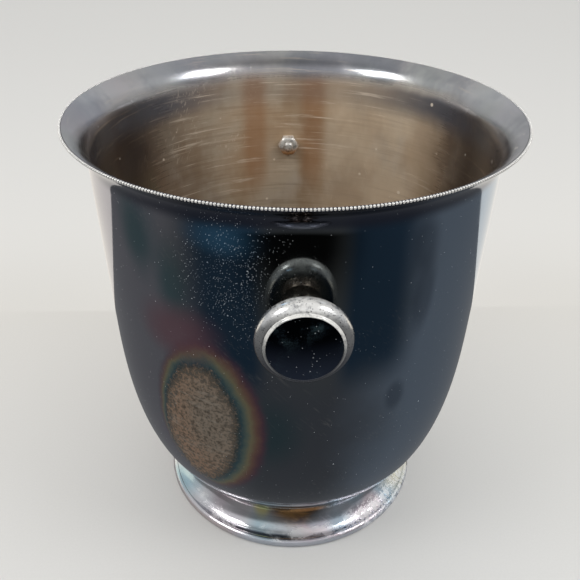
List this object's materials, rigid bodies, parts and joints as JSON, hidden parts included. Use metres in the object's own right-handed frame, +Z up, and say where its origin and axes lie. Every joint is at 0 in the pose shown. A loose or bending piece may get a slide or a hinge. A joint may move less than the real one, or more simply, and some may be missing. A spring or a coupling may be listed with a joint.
{
  "type": "champagne bucket",
  "caption": "Footed champagne bucket with a flared beaded rim, a rounded bowl and turned knob handles bolted through the wall.",
  "frame": {"origin": "centre of the foot's resting face", "axes": "+Z up; the knob handles stand out along -Y (front) and +Y (back)"},
  "size_m": [0.2, 0.2158, 0.209],
  "materials": {
    "tarnished_plate": "mirror-polished silver plate under dark blue-black tarnish",
    "bright_plate": "polished silver plate",
    "foot_plate": "polished silver plate, flaking at the edge",
    "knob_plate": "polished silver plate with tiny pits",
    "solder": "dull soft solder",
    "fastener": "plated, lightly stained"
  },
  "bodies": {
    "root": {"bucket_body": "tarnished_plate", "rim_wire": "bright_plate", "foot": "foot_plate", "foot_edge_ring": "foot_plate", "foot_collar_bead": "bright_plate", "foot_solder": "solder", "front_knob_collar": "knob_plate", "front_knob_neck": "knob_plate", "front_knob_head": "knob_plate", "front_knob_bezel": "bright_plate", "front_knob_face": "tarnished_plate", "front_knob_stud": "fastener", "front_knob_nut": "fastener", "back_knob_collar": "knob_plate", "back_knob_neck": "knob_plate", "back_knob_head": "knob_plate", "back_knob_bezel": "bright_plate", "back_knob_face": "tarnished_plate", "back_knob_stud": "fastener", "back_knob_nut": "fastener"}
  },
  "joints": []
}
